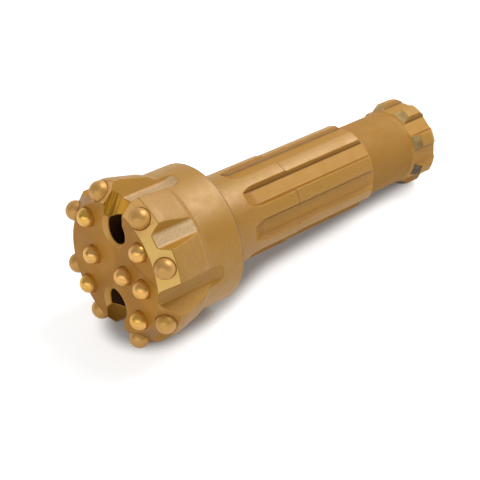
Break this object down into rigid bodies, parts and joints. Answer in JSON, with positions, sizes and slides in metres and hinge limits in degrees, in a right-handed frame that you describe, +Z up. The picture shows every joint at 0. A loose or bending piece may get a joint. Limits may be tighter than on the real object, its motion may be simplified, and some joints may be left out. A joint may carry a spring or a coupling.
{
  "type": "percussion drill bit",
  "caption": "Down-the-hole percussion drill bit with a fluted head, domed carbide buttons, flushing holes and a long splined shank that ends in retaining lugs.",
  "frame": {"origin": "middle of the bounding box, on the ground that the bit lies on", "axes": "+X along the lying bit, from the drilling face towards the tail of the shank; +Y across it; +Z up. The bit's own axis dips 5.2 degrees towards the tail."},
  "size_m": [0.2892, 0.1094, 0.1094],
  "materials": {
    "gold_coated_steel": "satin gold-bronze coat over machined alloy steel, with bare and stained patches on the rear lugs",
    "gold_coated_carbide": "glossier gold-bronze coat over ground tungsten carbide"
  },
  "bodies": {
    "root": {"bit_body": "gold_coated_steel", "gauge_button_1": "gold_coated_carbide", "gauge_button_2": "gold_coated_carbide", "gauge_button_3": "gold_coated_carbide", "gauge_button_4": "gold_coated_carbide", "gauge_button_5": "gold_coated_carbide", "gauge_button_6": "gold_coated_carbide", "gauge_button_7": "gold_coated_carbide", "gauge_button_8": "gold_coated_carbide", "face_button_1": "gold_coated_carbide", "face_button_2": "gold_coated_carbide", "face_button_3": "gold_coated_carbide", "face_button_4": "gold_coated_carbide", "face_button_5": "gold_coated_carbide", "face_button_6": "gold_coated_carbide", "face_button_7": "gold_coated_carbide"}
  },
  "joints": []
}
